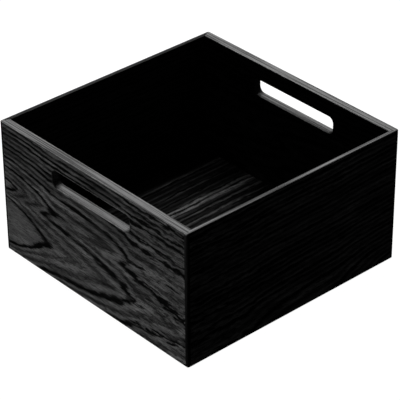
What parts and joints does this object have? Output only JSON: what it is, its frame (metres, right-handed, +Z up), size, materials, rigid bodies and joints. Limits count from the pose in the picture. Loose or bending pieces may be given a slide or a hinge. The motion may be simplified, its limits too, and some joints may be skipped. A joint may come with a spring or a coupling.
{
  "type": "open storage box",
  "caption": "Square open-top storage box in black-stained oak, with mitred corners, a bottom held in grooves and a rounded hand slot through opposite ends.",
  "frame": {"origin": "middle of the footprint, on the surface that the box stands on", "axes": "+Z up; the ends with the hand slots face -Y and +Y; the plain sides face -X and +X"},
  "size_m": [0.34, 0.34, 0.184],
  "materials": {
    "stained_oak_veneer": "satin black stain over open-pored flat-sawn oak veneer",
    "stained_oak_solid": "satin black stain over solid oak, worn a little greyer along the edges",
    "board_core": "unfinished plywood, hidden between the veneers",
    "spline_wood": "unfinished beech, hidden in the mitres"
  },
  "bodies": {
    "root": {"bottom_core": "board_core", "bottom_lower_veneer": "stained_oak_veneer", "bottom_upper_veneer": "stained_oak_veneer", "front_end_base_band": "stained_oak_solid", "front_end_core": "board_core", "front_end_inner_veneer": "stained_oak_veneer", "front_end_inner_veneer_foot": "stained_oak_veneer", "front_end_outer_veneer": "stained_oak_veneer", "front_end_rim_band": "stained_oak_solid", "front_end_slot_lining": "stained_oak_solid", "front_left_corner_bead": "stained_oak_solid", "front_left_mitre_spline": "spline_wood", "front_right_corner_bead": "stained_oak_solid", "front_right_mitre_spline": "spline_wood", "left_side_base_band": "stained_oak_solid", "left_side_core": "board_core", "left_side_inner_veneer": "stained_oak_veneer", "left_side_inner_veneer_foot": "stained_oak_veneer", "left_side_outer_veneer": "stained_oak_veneer", "left_side_rim_band": "stained_oak_solid", "rear_end_base_band": "stained_oak_solid", "rear_end_core": "board_core", "rear_end_inner_veneer": "stained_oak_veneer", "rear_end_inner_veneer_foot": "stained_oak_veneer", "rear_end_outer_veneer": "stained_oak_veneer", "rear_end_rim_band": "stained_oak_solid", "rear_end_slot_lining": "stained_oak_solid", "rear_left_corner_bead": "stained_oak_solid", "rear_left_mitre_spline": "spline_wood", "rear_right_corner_bead": "stained_oak_solid", "rear_right_mitre_spline": "spline_wood", "right_side_base_band": "stained_oak_solid", "right_side_core": "board_core", "right_side_inner_veneer": "stained_oak_veneer", "right_side_inner_veneer_foot": "stained_oak_veneer", "right_side_outer_veneer": "stained_oak_veneer", "right_side_rim_band": "stained_oak_solid"}
  },
  "joints": []
}
